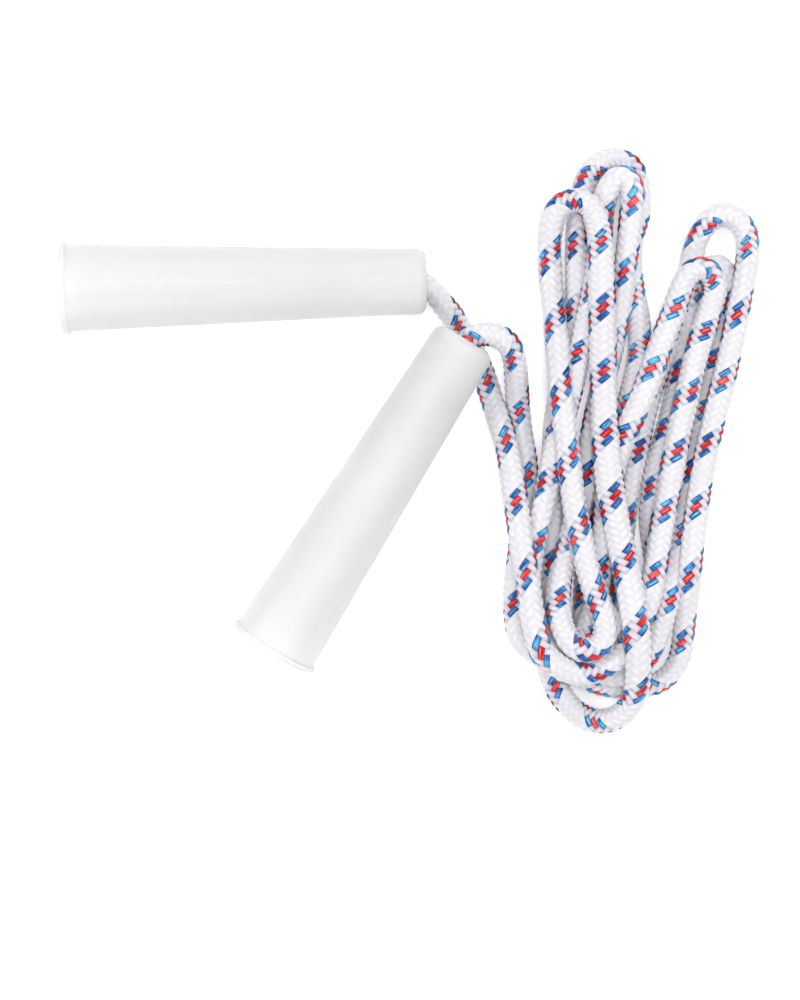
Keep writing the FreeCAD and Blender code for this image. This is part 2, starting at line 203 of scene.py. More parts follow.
    (0.12551, 0.02448, 0.00385), (0.12676, 0.03165, 0.00385), (0.12785, 0.03945, 0.00385),
    (0.12863, 0.04787, 0.00385), (0.12878, 0.05566, 0.00389), (0.12922, 0.06063, 0.00407),
    # over the outer right loop
    (0.12984, 0.06500, 0.00409), (0.13111, 0.06844, 0.00395), (0.13299, 0.07157, 0.00387),
    (0.13487, 0.07406, 0.00385), (0.13767, 0.07562, 0.00385), (0.14079, 0.07562, 0.00385),
    (0.14391, 0.07375, 0.00387), (0.14607, 0.07062, 0.00398), (0.14679, 0.06684, 0.00436),
    (0.14663, 0.06270, 0.00538), (0.14549, 0.05723, 0.00760),
    # down the right edge
    (0.14401, 0.05093, 0.00908), (0.14273, 0.04472, 0.00937), (0.14149, 0.03761, 0.00934),
    (0.13996, 0.03050, 0.00928), (0.13841, 0.02370, 0.00932), (0.13653, 0.01689, 0.00944),
    (0.13498, 0.00978, 0.00951), (0.13342, 0.00359, 0.00955), (0.13188, -0.00414, 0.00951),
    (0.13065, -0.01187, 0.00947), (0.12968, -0.01958, 0.00978), (0.12819, -0.02876, 0.01168),
    (0.12736, -0.03805, 0.01096), (0.12716, -0.04774, 0.00555), (0.12644, -0.05723, 0.00391),
    # along the bottom
    (0.12629, -0.05910, 0.00386), (0.12551, -0.06285, 0.00385), (0.12364, -0.06659, 0.00385),
    (0.12052, -0.06971, 0.00385), (0.11647, -0.07158, 0.00385), (0.11148, -0.07236, 0.00385),
    (0.10586, -0.07220, 0.00387), (0.10054, -0.07124, 0.00409), (0.09545, -0.06908, 0.00529),
    (0.09060, -0.06663, 0.00771), (0.08615, -0.06415, 0.00914), (0.08183, -0.06139, 0.00895),
    (0.07849, -0.05932, 0.00802), (0.07591, -0.05677, 0.00704), (0.07456, -0.05360, 0.00613),
    (0.07399, -0.04871, 0.00508),
    # up the left side to handle b
    (0.07403, -0.04317, 0.00422), (0.07468, -0.03540, 0.00387), (0.07592, -0.02605, 0.00385),
    (0.07717, -0.01825, 0.00385), (0.07780, -0.01045, 0.00385), (0.07748, -0.00266, 0.00385),
    (0.07624, 0.00514, 0.00387), (0.07529, 0.01293, 0.00403),
]

# Distance along the route, quarter turns of the braid so far, and twist in degrees:
# where the red yarn comes up on top of the rope.
LAY = [
    (50.3, 9, 154), (70.6, 13, 137), (90.9, 17, 145), (110.3, 21, 146), (132.9, 25, 158),
    (157.0, 29, 160), (176.7, 33, 184), (212.8, 40, 231), (233.0, 44, 232), (252.1, 48, 241),
    (266.5, 51, 263), (285.6, 55, 247), (306.9, 60, 218), (328.0, 64, 235), (349.2, 68, 254),
    (365.6, 71, 260), (481.0, 93, 173), (498.6, 96, 191), (540.1, 105, 133), (584.0, 114, 94),
    (608.3, 118, 60), (629.7, 122, 69), (694.2, 134, 54), (735.1, 142, 49), (751.1, 146, 14),
    (776.8, 151, 9), (793.0, 154, 8), (814.4, 158, -8), (835.7, 162, 11), (858.8, 166, 11),
    (881.2, 170, 22), (900.8, 174, -5), (921.3, 179, -35), (941.6, 183, -32), (960.9, 187, -32),
    (981.3, 191, -36), (999.9, 195, -48), (1019.3, 199, -59), (1039.5, 203, -67), (1060.4, 207, -58),
    (1076.9, 210, -42), (1098.4, 215, -37), (1137.2, 223, -40), (1215.8, 239, -83), (1236.4, 243, -65),
    (1257.7, 247, -65), (1274.4, 251, -100), (1312.8, 259, -111), (1331.2, 263, -72), (1350.7, 268, -107),
    (1454.1, 288, -63), (1473.3, 292, -115), (1493.8, 296, -127), (1514.3, 300, -137), (1534.0, 304, -130),
    (1549.4, 308, -138), (1567.7, 312, -122), (1644.8, 328, -131), (1665.3, 332, -158), (1720.3, 344, -150),
    (1738.7, 348, -153), (1757.4, 352, -166), (1775.6, 356, -157), (1845.7, 369, -193), (1867.3, 373, -203),
    (1888.1, 377, -203), (1908.4, 381, -194), (1927.8, 385, -198), (1948.9, 389, -203), (1971.5, 393, -196),
    (2005.6, 400, -193), (2046.6, 408, -137), (2086.9, 416, -116), (2107.5, 420, -121), (2127.2, 424, -152),
    (2144.9, 428, -113),
]
# Distance along the route and how wide the soft rope lies there: drawn narrow at a fold,
# pressed wide where it runs over the others.
WIDE = [
    (0.000, 1.00), (0.040, 0.97), (0.090, 0.98), (0.120, 1.00), (0.170, 0.97), (0.200, 1.00),
    (0.290, 1.01), (0.311, 0.94), (0.335, 1.00), (0.430, 0.98), (0.600, 0.97), (0.740, 1.00),
    (0.780, 0.98), (0.870, 0.97), (0.895, 0.98), (0.915, 1.04), (0.945, 1.10), (0.980, 1.13),
    (1.035, 1.13), (1.055, 1.06), (1.075, 1.00), (1.110, 0.97), (1.260, 0.96), (1.300, 0.97),
    (1.460, 1.00), (1.570, 0.97), (1.805, 0.97), (1.825, 0.93), (1.850, 0.95), (1.950, 0.96),
    (1.975, 0.88), (1.995, 0.87), (2.020, 0.94), (2.045, 0.98), (2.100, 0.97), (2.150, 1.00),
]
PITCH = 0.0202
SUB = 3
RINGS_PER_PITCH = 16 * SUB
STEP = PITCH / RINGS_PER_PITCH


def spline_points(name, points, resolution=14):
    """The points of a NURBS spline through a route, read from a curve with no bevel."""
    data = bpy.data.curves.new(name, "CURVE")
    data.dimensions = "3D"
    data.resolution_u = resolution
    s = data.splines.new("NURBS")
    s.points.add(len(points) - 1)
    for p, c in zip(s.points, points):
        p.co = (float(c[0]), float(c[1]), float(c[2]), 1.0)
    s.order_u = 3
    s.use_endpoint_u = True
    obj = bpy.data.objects.new(name, data)
    scene.collection.objects.link(obj)
    bpy.context.view_layer.update()
    mesh = bpy.data.meshes.new_from_object(obj)
    out = np.array([v.co[:] for v in mesh.vertices])
    bpy.data.objects.remove(obj)
    bpy.data.curves.remove(data)
    bpy.data.meshes.remove(mesh)
    keep = np.r_[True, np.linalg.norm(np.diff(out, axis=0), axis=1) > 1e-7]
    return out[keep]


def lengths(line):
    return np.r_[0.0, np.cumsum(np.linalg.norm(np.diff(line, axis=0), axis=1))]


def along(line, s, at):
    return np.stack([np.interp(at, s, line[:, k]) for k in range(3)], 1)


def smooth_rows(a, n):
    for _ in range(n):
        a = np.concatenate([a[:1], 0.25 * a[:-2] + 0.5 * a[1:-1] + 0.25 * a[2:], a[-1:]])
    return a


def unit(a):
    return a / np.maximum(np.linalg.norm(a, axis=1, keepdims=True), 1e-12)


def level_frames(tangent):
    """Side and up for a rope that lies flat: side is level, up is square to the rope."""
    side = unit(np.cross(tangent, np.array((0.0, 0.0, 1.0))))
    return side, np.cross(side, tangent)


def carried_frames(tangent):
    """Side and up carried along a rope that turns every way, as in a knot."""
    side = np.zeros_like(tangent)
    ref = np.array((0.0, 0.0, 1.0)) if abs(tangent[0][2]) < 0.8 else np.array((1.0, 0.0, 0.0))
    v = np.cross(tangent[0], ref)
    for i, t in enumerate(tangent):
        v = v - t * np.dot(v, t)
        v = v / np.linalg.norm(v)
        side[i] = v
    return side, np.cross(side, tangent)


# ------------------------------------------------------------------ materials
def new_material(name):
    m = bpy.data.materials.new(name)
    m.use_nodes = True
    nt = m.node_tree
    bsdf = nt.nodes["Principled BSDF"]
    return m, nt, bsdf


def ramp(nt, fac, stops):
    r = nt.nodes.new("ShaderNodeValToRGB")
    r.color_ramp.interpolation = "LINEAR"
    while len(r.color_ramp.elements) < len(stops):
        r.color_ramp.elements.new(0.5)
    for e, (pos, col) in zip(r.color_ramp.elements, stops):
        e.position = pos
        e.color = (*col, 1.0)
    nt.links.new(fac, r.inputs["Fac"])
    return r.outputs["Color"]


def yarn_material(name, painted_shade_colour, dark, mid, light, rough, fibre=0.5, sheen=0.0, painted_shade_min=0.1, spread=0.16, arch_x=2.5, arch_y=2.0):
    """Bulked filament yarn: fine fibres along the yarn, in colour, gloss and height. Each float fades to a painted
    shade colour towards its ends and edges, and its colour ramp holds lit and shaded tones.
    """
    m, nt, b = new_material(name)
    uv = nt.nodes.new("ShaderNodeUVMap")
    uv.uv_map = "Yarn"
    # fibres: noise drawn out along the yarn
    mp = nt.nodes.new("ShaderNodeMapping")
    mp.inputs["Scale"].default_value = (0.55, 9.0, 1.0)
    nt.links.new(uv.outputs["UV"], mp.inputs["Vector"])
    n1 = nt.nodes.new("ShaderNodeTexNoise")
    n1.inputs["Scale"].default_value = 1.6
    n1.inputs["Detail"].default_value = 4.0
    n1.inputs["Roughness"].default_value = 0.62
    nt.links.new(mp.outputs["Vector"], n1.inputs["Vector"])
    # softer waves of thick and thin filament
    mp2 = nt.nodes.new("ShaderNodeMapping")
    mp2.inputs["Scale"].default_value = (0.35, 3.2, 1.0)
    nt.links.new(uv.outputs["UV"], mp2.inputs["Vector"])
    n2 = nt.nodes.new("ShaderNodeTexNoise")
    n2.inputs["Scale"].default_value = 1.1
    n2.inputs["Detail"].default_value = 2.0
    nt.links.new(mp2.outputs["Vector"], n2.inputs["Vector"])
    # slow change from handling, over centimetres
    co = nt.nodes.new("ShaderNodeTexCoord")
    n3 = nt.nodes.new("ShaderNodeTexNoise")
    n3.inputs["Scale"].default_value = 55.0
    n3.inputs["Detail"].default_value = 2.0
    nt.links.new(co.outputs["Object"], n3.inputs["Vector"])
    mix = nt.nodes.new("ShaderNodeMath")
    mix.operation = "ADD"
    nt.links.new(n1.outputs["Fac"], mix.inputs[0])
    nt.links.new(n2.outputs["Fac"], mix.inputs[1])
    mix2 = nt.nodes.new("ShaderNodeMath")
    mix2.operation = "MULTIPLY_ADD"
    nt.links.new(n3.outputs["Fac"], mix2.inputs[0])
    mix2.inputs[1].default_value = 0.5
    nt.links.new(mix.outputs[0], mix2.inputs[2])
    half = nt.nodes.new("ShaderNodeMath")
    half.operation = "MULTIPLY"
    half.inputs[1].default_value = 0.4
    nt.links.new(mix2.outputs[0], half.inputs[0])
    # painted shade: each float fades to the painted shade colour towards its ends and edges, where it dives under its
    # neighbours, so its middle reads as lit
    fl = nt.nodes.new("ShaderNodeUVMap")
    fl.uv_map = "Float"
    sep = nt.nodes.new("ShaderNodeSeparateXYZ")
    nt.links.new(fl.outputs["UV"], sep.inputs[0])
    arch = []
    for socket, power in (("X", arch_x), ("Y", arch_y)):
        centred = nt.nodes.new("ShaderNodeMath")
        centred.operation = "MULTIPLY_ADD"
        centred.inputs[1].default_value = 2.0
        centred.inputs[2].default_value = -1.0
        nt.links.new(sep.outputs[socket], centred.inputs[0])
        size_ = nt.nodes.new("ShaderNodeMath")
        size_.operation = "ABSOLUTE"
        nt.links.new(centred.outputs[0], size_.inputs[0])
        pw = nt.nodes.new("ShaderNodeMath")
        pw.operation = "POWER"
        pw.inputs[1].default_value = power
        nt.links.new(size_.outputs[0], pw.inputs[0])
        left = nt.nodes.new("ShaderNodeMath")
        left.operation = "SUBTRACT"
        left.inputs[0].default_value = 1.0
        nt.links.new(pw.outputs[0], left.inputs[1])
        arch.append(left)
    both = nt.nodes.new("ShaderNodeMath")
    both.operation = "MULTIPLY"
    nt.links.new(arch[0].outputs[0], both.inputs[0])
    nt.links.new(arch[1].outputs[0], both.inputs[1])
    shade = nt.nodes.new("ShaderNodeMapRange")
    shade.inputs["From Min"].default_value = 0.0
    shade.inputs["From Max"].default_value = 0.92
    shade.inputs["To Min"].default_value = painted_shade_min
    shade.inputs["To Max"].default_value = 1.0
    nt.links.new(both.outputs[0], shade.inputs["Value"])
    # painted shade mix: the painted shade colour at the float's ends and edges, the yarn's colour ramp on its middle
    painted_shade_mix = nt.nodes.new("ShaderNodeMix")
    painted_shade_mix.data_type = "RGBA"
    painted_shade_mix.blend_type = "MIX"
    nt.links.new(shade.outputs["Result"], painted_shade_mix.inputs[0])
    painted_shade_mix.inputs[6].default_value = (*painted_shade_colour, 1.0)
    # the ramp's dark and light stops are shaded and lit tones of the yarn: the fibre noise scatters them as painted
    # shade and painted glints over the yarn's real random tone
    nt.links.new(ramp(nt, half.outputs[0], [(0.50 - spread, dark), (0.50, mid), (0.50 + spread, light)]), painted_shade_mix.inputs[7])
    nt.links.new(painted_shade_mix.outputs[2], b.inputs["Base Color"])
    rr = nt.nodes.new("ShaderNodeMapRange")
    rr.inputs["From Min"].default_value = 0.3
    rr.inputs["From Max"].default_value = 0.7
    rr.inputs["To Min"].default_value = rough + 0.10
    rr.inputs["To Max"].default_value = rough - 0.06
    nt.links.new(n1.outputs["Fac"], rr.inputs["Value"])
    nt.links.new(rr.outputs["Result"], b.inputs["Roughness"])
    bump = nt.nodes.new("ShaderNodeBump")
    bump.inputs["Strength"].default_value = fibre
    bump.inputs["Distance"].default_value = 0.00012
    nt.links.new(mix.outputs[0], bump.inputs["Height"])
    nt.links.new(bump.outputs["Normal"], b.inputs["Normal"])
    b.inputs["Sheen Weight"].default_value = sheen
    b.inputs["Sheen Roughness"].default_value = 0.4
    b.inputs["Specular IOR Level"].default_value = 0.30
    return m


# each yarn's first colour is its painted shade colour for the float ends and edges; the next three are the shaded,
# middle and lit tones of its ramp
WHITE = yarn_material("rope_white_yarn", (0.645, 0.63, 0.672), (0.65, 0.64, 0.66), (0.727, 0.722, 0.737), (0.80, 0.80, 0.805), 0.38, 0.5, spread=0.14)
BLUE = yarn_material("rope_blue_yarn", (0.005, 0.018, 0.13), (0.005, 0.026, 0.17), (0.018, 0.17, 0.52), (0.13, 0.60, 0.97), 0.25, 0.9, spread=0.06, arch_x=3.0, arch_y=3.0)
RED = yarn_material("rope_red_yarn", (0.22, 0.001, 0.006), (0.28, 0.001, 0.006), (0.75, 0.010, 0.020), (1.0, 0.18, 0.17), 0.25, 0.9, spread=0.06, arch_x=3.0, arch_y=3.0)
PINK = yarn_material("rope_white_over_red", (0.53, 0.37, 0.42), (0.60, 0.49, 0.52), (0.72, 0.635, 0.65), (0.81, 0.755, 0.765), 0.38, 0.5)
GREYBLUE = yarn_material("rope_white_over_blue", (0.35, 0.38, 0.49), (0.51, 0.54, 0.62), (0.665, 0.685, 0.735), (0.785, 0.795, 0.815), 0.38, 0.5)
ROPE_MATERIALS = [WHITE, BLUE, RED, PINK, GREYBLUE]


def melted_material():
    m, nt, b = new_material("rope_melted_end")
    co = nt.nodes.new("ShaderNodeTexCoord")
    n = nt.nodes.new("ShaderNodeTexNoise")
    n.inputs["Scale"].default_value = 420.0
    n.inputs["Detail"].default_value = 3.0
    nt.links.new(co.outputs["Object"], n.inputs["Vector"])
    nt.links.new(ramp(nt, n.outputs["Fac"], [(0.35, (0.45, 0.43, 0.42)), (0.55, (0.68, 0.68, 0.70)), (0.7, (0.30, 0.38, 0.55))]), b.inputs["Base Color"])
    b.inputs["Roughness"].default_value = 0.22
    bump = nt.nodes.new("ShaderNodeBump")
    bump.inputs["Strength"].default_value = 0.5
    bump.inputs["Distance"].default_value = 0.0003
    nt.links.new(n.outputs["Fac"], bump.inputs["Height"])
    nt.links.new(bump.outputs["Normal"], b.inputs["Normal"])
    return m


MELTED = melted_material()


def handle_material():
    """Natural polypropylene from the mould: milky, half clear, with a fine satin skin."""
    m, nt, b = new_material("handle_natural_pp")
    co = nt.nodes.new("ShaderNodeTexCoord")
    fine = nt.nodes.new("ShaderNodeTexNoise")
    fine.inputs["Scale"].default_value = 2600.0
    fine.inputs["Detail"].default_value = 3.0
    nt.links.new(co.outputs["Object"], fine.inputs["Vector"])
    slow = nt.nodes.new("ShaderNodeTexNoise")
    slow.inputs["Scale"].default_value = 38.0
    slow.inputs["Detail"].default_value = 3.0
    nt.links.new(co.outputs["Object"], slow.inputs["Vector"])
    # flow marks from the gate, long and faint
    mp = nt.nodes.new("ShaderNodeMapping")
    mp.inputs["Scale"].default_value = (18.0, 90.0, 90.0)
    nt.links.new(co.outputs["Object"], mp.inputs["Vector"])
    flow = nt.nodes.new("ShaderNodeTexNoise")
    flow.inputs["Scale"].default_value = 1.0
    flow.inputs["Detail"].default_value = 4.0
    nt.links.new(mp.outputs["Vector"], flow.inputs["Vector"])
    nt.links.new(ramp(nt, slow.outputs["Fac"], [(0.3, (0.945, 0.952, 0.954)), (0.7, (0.962, 0.966, 0.968))]), b.inputs["Base Color"])
    rr = nt.nodes.new("ShaderNodeMapRange")
    rr.inputs["From Min"].default_value = 0.3
    rr.inputs["From Max"].default_value = 0.7
    rr.inputs["To Min"].default_value = 0.40
    rr.inputs["To Max"].default_value = 0.52
    nt.links.new(flow.outputs["Fac"], rr.inputs["Value"])
    nt.links.new(rr.outputs["Result"], b.inputs["Roughness"])
    add = nt.nodes.new("ShaderNodeMath")
    add.operation = "MULTIPLY_ADD"
    nt.links.new(flow.outputs["Fac"], add.inputs[0])
    add.inputs[1].default_value = 1.6
    nt.links.new(fine.outputs["Fac"], add.inputs[2])
    bump = nt.nodes.new("ShaderNodeBump")
    bump.inputs["Strength"].default_value = 0.10
    bump.inputs["Distance"].default_value = 0.0001
    nt.links.new(add.outputs[0], bump.inputs["Height"])
    nt.links.new(bump.outputs["Normal"], b.inputs["Normal"])
    b.inputs["Transmission Weight"].default_value = 0.45
    b.inputs["IOR"].default_value = 1.49
    b.inputs["Subsurface Weight"].default_value = 0.9
    b.inputs["Subsurface Radius"].default_value = (0.009, 0.009, 0.0095)
    b.inputs["Specular IOR Level"].default_value = 0.45
    return m


HANDLE = handle_material()
for name in ("handle_a", "handle_b"):
    for s in nodes[name].material_slots:
        s.material = HANDLE


# ------------------------------------------------------------------ braid
def braid(name, centre, side, up, twist, first, last, half_w, half_h, relief=0.00044, strip=500):
    """A tube whose faces are the diamonds of a two-over-two braid of eight and eight yarns.

    Ring l of the lattice holds the crossings with b - a = l; a counts across one family of
    yarns and b across the other. Faces are centred on the rings first to last.
    """
    count = 8 * SUB
    turn = 2 * count
    lo, hi = first - 1, last + 1
    ls = np.arange(lo, hi + 1)
    L, M = np.meshgrid(ls, np.arange(count), indexing="ij")
    par = L % 2
    B = (L + par) // 2 + M
    A = B - L
    I, J = A // SUB, B // SUB
    fa, fb = A % SUB, B % SUB
    kind = (I + J) % 4
    h = np.zeros(L.shape)
    # inside a float of the first family: a is inside a yarn, b runs over two cells
    on1 = (fa > 0) & ((fb > 0) & (kind < 2) | (fb == 0) & (kind == 1))
    t1 = (np.where(kind == 0, 0, SUB) + fb) / (2.0 * SUB)
    h = np.where(on1, np.sin(np.pi * np.clip(t1, 0, 1)) ** 0.6, h)
    on2 = (fb > 0) & ((fa > 0) & (kind >= 2) | (fa == 0) & (kind == 3))
    t2 = (np.where(kind == 2, 0, SUB) + fa) / (2.0 * SUB)
    h = np.where(on2, np.sin(np.pi * np.clip(t2, 0, 1)) ** 0.6, h)
    # yarns are bulked by hand and machine: no two floats stand quite as proud
    wob = 0.5 + 0.5 * np.sin(I * 12.9898 + J * 78.233 + 1.7) * np.sin(I * 3.7 - J * 5.3)
    h = h * (0.82 + 0.36 * wob)
    ang = np.radians(7.5 * (3.0 / SUB)) * (A + B) + twist[:, None]
    k = (L - lo)
    r_w = half_w[k] - relief * 0.55 + relief * h
    r_h = half_h[k] - relief * 0.55 + relief * h
    pos = (centre[k] + side[k] * (np.sin(ang) * r_w)[..., None] + up[k] * (np.cos(ang) * r_h)[..., None])
    verts = pos.reshape(-1, 3)

    def vid(l, m):
        return (l - lo) * count + (m % count)

    fl, fm = np.meshgrid(np.arange(first, last + 1), np.arange(count), indexing="ij")
    fl, fm = fl.ravel(), fm.ravel()
    odd = fl % 2
    quads = np.stack([vid(fl, fm), vid(fl + 1, fm + odd), vid(fl, fm + 1), vid(fl - 1, fm + odd)], 1)
    fB = (fl + odd) // 2 + fm
    fA = fB - fl
    fi, fj = fA // SUB, fB // SUB
    tracer = (fi + fj) % 4 < 2
    yarn = fi % 8
    mat = np.where(tracer, np.where(yarn == 1, 2, np.where((yarn == 0) | (yarn == 2), 1, 0)),
                   np.where(yarn == 1, 3, np.where((yarn == 0) | (yarn == 2), 4, 0)))
    # corners in the order (a, b), (a, b+1), (a+1, b+1), (a+1, b)
    ca = fA[:, None] + np.array((0, 0, 1, 1))
    cb = fB[:, None] + np.array((0, 1, 1, 0))
    ua, ub = ca / SUB, cb / SUB
    u = np.where(tracer[:, None], ub + 5.37 * (fi % 8)[:, None], ua + 3.71 * (fj % 8)[:, None] + 50.0)
    v = np.where(tracer[:, None], ua - fi[:, None] + 1.31 * fi[:, None], ub - fj[:, None] + 1.17 * fj[:, None] + 50.0)
    # place on the float: along it from end to end, and across it
    kind_f = (fi + fj) % 4
    run = np.where(tracer[:, None], (cb - (fj * SUB)[:, None]) + np.where(kind_f == 0, 0, SUB)[:, None],
                   (ca - (fi * SUB)[:, None]) + np.where(kind_f == 2, 0, SUB)[:, None]) / (2.0 * SUB)
    over = np.where(tracer[:, None], ca - (fi * SUB)[:, None], cb - (fj * SUB)[:, None]) / float(SUB)
    # unrolled strips for baked textures
    row = (fl - first) // strip
    rows = int(row.max()) + 1
    cl = (cb - ca) - (first + row * strip)[:, None]
    base = (fA + fB) % turn
    cm = base[:, None] + ((ca + cb) - (fA + fB)[:, None])
    span = min(strip, last - first + 1)
    wide = (span + 4) * STEP
    tall = rows * (turn + 4) * (0.0252 / turn)
    scale = 1.0 / max(wide, tall)
    bu = (cl + 2) * STEP * scale
    bv = (row[:, None] * (turn + 4) + cm + 1) * (0.0252 / turn) * scale
    # caps: a fan over each zigzag end
    caps, cap_mat = [], []
    extra = []
    for l_out, l_in, flip in ((first - 1, first, False), (last + 1, last, True)):
        even, oddr = (l_out, l_in) if l_out % 2 == 0 else (l_in, l_out)
        ring = []
        for m in range(count):
            ring += [vid(even, m), vid(oddr, m)]
        c = len(verts) + len(extra)
        extra.append(verts[ring].mean(0))
        for q in range(len(ring)):
            t = (ring[q], ring[(q + 1) % len(ring)], c)
            caps.append(t[::-1] if flip else t)
            cap_mat.append(0)
    all_verts = np.vstack([verts, np.array(extra)])
    mesh = bpy.data.meshes.new(name)
    nq, nc = len(quads), len(caps)
    loops = np.concatenate([quads.ravel(), np.array(caps).ravel()])
    starts = np.concatenate([np.arange(nq) * 4, nq * 4 + np.arange(nc) * 3])
    totals = np.concatenate([np.full(nq, 4), np.full(nc, 3)])
    mesh.vertices.add(len(all_verts))
    mesh.vertices.foreach_set("co", all_verts.ravel())
    mesh.loops.add(len(loops))
    mesh.loops.foreach_set("vertex_index", loops.astype(np.int32))
    mesh.polygons.add(nq + nc)
    mesh.polygons.foreach_set("loop_start", starts.astype(np.int32))
    mesh.polygons.foreach_set("loop_total", totals.astype(np.int32))
    mesh.polygons.foreach_set("material_index", np.concatenate([mat, np.array(cap_mat)]).astype(np.int32))
    mesh.polygons.foreach_set("use_smooth", np.ones(nq + nc, bool))
    for m in ROPE_MATERIALS:
        mesh.materials.append(m)
    cap_uv = np.zeros((nc * 3, 2))
    yarn_uv = mesh.uv_layers.new(name="Yarn")
    yarn_uv.data.foreach_set("uv", np.concatenate([np.stack([u.ravel(), v.ravel()], 1), cap_uv]).ravel())
    float_uv = mesh.uv_layers.new(name="Float")
    float_uv.data.foreach_set("uv", np.concatenate([np.stack([run.ravel(), over.ravel()], 1), cap_uv + 0.5]).ravel())
    bake = mesh.uv_layers.new(name="OFBake")
    tiny = np.tile(np.array(((0.9990, 0.9990), (0.9998, 0.9990), (0.9994, 0.9998))), (nc, 1))
    bake.data.foreach_set("uv", np.concatenate([np.stack([bu.ravel(), bv.ravel()], 1), tiny]).ravel())
    mesh.update(calc_edges=True)
    mesh.validate()
    obj = bpy.data.objects.new(name, mesh)
    scene.collection.objects.link(obj)
    return obj


# ------------------------------------------------------------------ rope along its route
inside_a = [FACE_A + AXIS_A * d for d in (0.034, 0.026, 0.016, 0.009, 0.005, 0.003)]
inside_b = [FACE_B + AXIS_B * d for d in (0.0015, 0.005, 0.009, 0.014, 0.020)]
ROUTE = inside_a + LEAD_A + HANK + LEAD_B[::-1] + inside_b
line = spline_points("rope_route", ROUTE)
s_line = lengths(line)
lay = np.array(LAY)
lay_s = lay[:, 0] * 0.001
lay_u = (7.5 / 48.0 + 0.25 * lay[:, 1]) * PITCH
lay_p = np.radians(lay[:, 2])
# carry the same lay on past the first and last places
ext_s = np.r_[lay_s[0] - 1.0, lay_s, lay_s[-1] + 1.0]
ext_u = np.r_[lay_u[0] - 1.0, lay_u, lay_u[-1] + 1.0]
ext_p = np.r_[lay_p[0], lay_p, lay_p[-1]]

core_from = KNOT_A_DEPTH - KNOT_HALF + 0.0015
core_to = KNOT_B_DEPTH - KNOT_HALF + 0.0015
s_start = 0.034 - core_from
s_end = s_line[-1] - (0.020 - core_to)
s_cut_a = 0.034 - 0.005
s_cut_b = s_line[-1] - (0.020 - 0.005)


def ring_of(s):
    return int(round(float(np.interp(s, ext_s, ext_u)) / STEP))


def even(l):
    return l + (l % 2)


l_start, l_a, l_b, l_end = (even(ring_of(s)) for s in (s_start, s_cut_a, s_cut_b, s_end))


def rope_part(name, first, last):
    ls = np.arange(first - 1, last + 2)
    s = np.interp(ls * STEP, ext_u, ext_s)
    centre = along(line, s_line, s)
    centre = smooth_rows(centre, 4)
    eps = 0.0012
    tangent = unit(along(line, s_line, np.clip(s + eps, 0, s_line[-1])) - along(line, s_line, np.clip(s - eps, 0, s_line[-1])))
    side, up = level_frames(tangent)
    twist = np.interp(s, ext_s, ext_p)
    # near the handles the rope is round; lying on others it spreads a little
    near = np.clip((np.minimum(s - s_cut_a, s_cut_b - s) - 0.012) / 0.03, 0.0, 1.0)
    near = near * near * (3 - 2 * near)
    soft = 0.00008 * np.sin(s * 310.0) + 0.00006 * np.sin(s * 127.0 + 1.0)
    wide = np.interp(s, [w[0] for w in WIDE], [w[1] for w in WIDE])
    half_w = (0.00358 + 0.00020 * near) * wide + soft
    half_h = (0.00358 - 0.00015 * near) / np.sqrt(np.maximum(wide, 1.0)) - soft * 0.5
    obj = braid(name, centre, side, up, twist, first, last, half_w, half_h)
    return obj, centre


rope, rope_centre = rope_part("skipping_rope", l_a + 1, l_b)
core_a, _ = rope_part("rope_core_in_handle_a", l_start, l_a)
core_b, _ = rope_part("rope_core_in_handle_b", l_b + 1, l_end)


# ------------------------------------------------------------------ stopper knots and tails
def local(face, axis, depth):
    """Points given as (along the handle's axis from the knot's middle, side, up) in mm."""
    axis = axis / np.linalg.norm(axis)
    side = np.cross(axis, (0.0, 0.0, 1.0))
    side = side / np.linalg.norm(side)
    up = np.cross(side, axis)
    mid = face + axis * depth
    return lambda p: mid + (axis * p[0] + side * p[1] + up * p[2]) * 0.001


# An overhand knot with an extra turn, pulled up tight: through the middle, back over the
# outside in a turn and a half, in again and out to the tail.
KNOT = [
    (-8.6, 0.0, 0.0), (-6.5, 0.2, 0.2), (-3.0, 0.6, 0.8), (0.5, 0.9, 1.4), (3.6, 1.0, 2.6),
    (5.0, 0.2, 4.3), (4.9, -2.8, 4.0), (4.2, -4.7, 1.2), (3.4, -4.4, -2.4), (2.5, -1.6, -4.8),
    (1.4, 2.2, -4.6), (0.3, 4.7, -1.8), (-0.8, 4.5, 2.0), (-1.9, 1.8, 4.6), (-3.0, -1.9, 4.5),
    (-4.1, -4.6, 1.7), (-4.9, -4.3, -1.9), (-5.0, -1.4, -3.6), (-3.4, 0.6, -2.6), (-0.5, 0.4, -1.2),
    (3.5, 0.1, -0.5), (6.8, 0.0, 0.0), (9.4, 0.0, 0.0),
]


def free_rope(name, points, radius, offset=0):
    """A short length of the same rope, whichever way it turns."""
    ln = spline_points(name + "_route", points, 16)
    s = lengths(ln)
    n = int(s[-1] / STEP) - 2
    n -= n % 2
    at = (np.arange(n + 3)) * (s[-1] / (n + 2))
    c = smooth_rows(along(ln, s, at), 6)
    t = unit(np.gradient(c, axis=0))
    side, up = carried_frames(t)
    one = np.ones(n + 3)
    return braid(name, c, side, up, np.zeros(n + 3) + offset, 1, n + 1, radius * one, radius * one), c


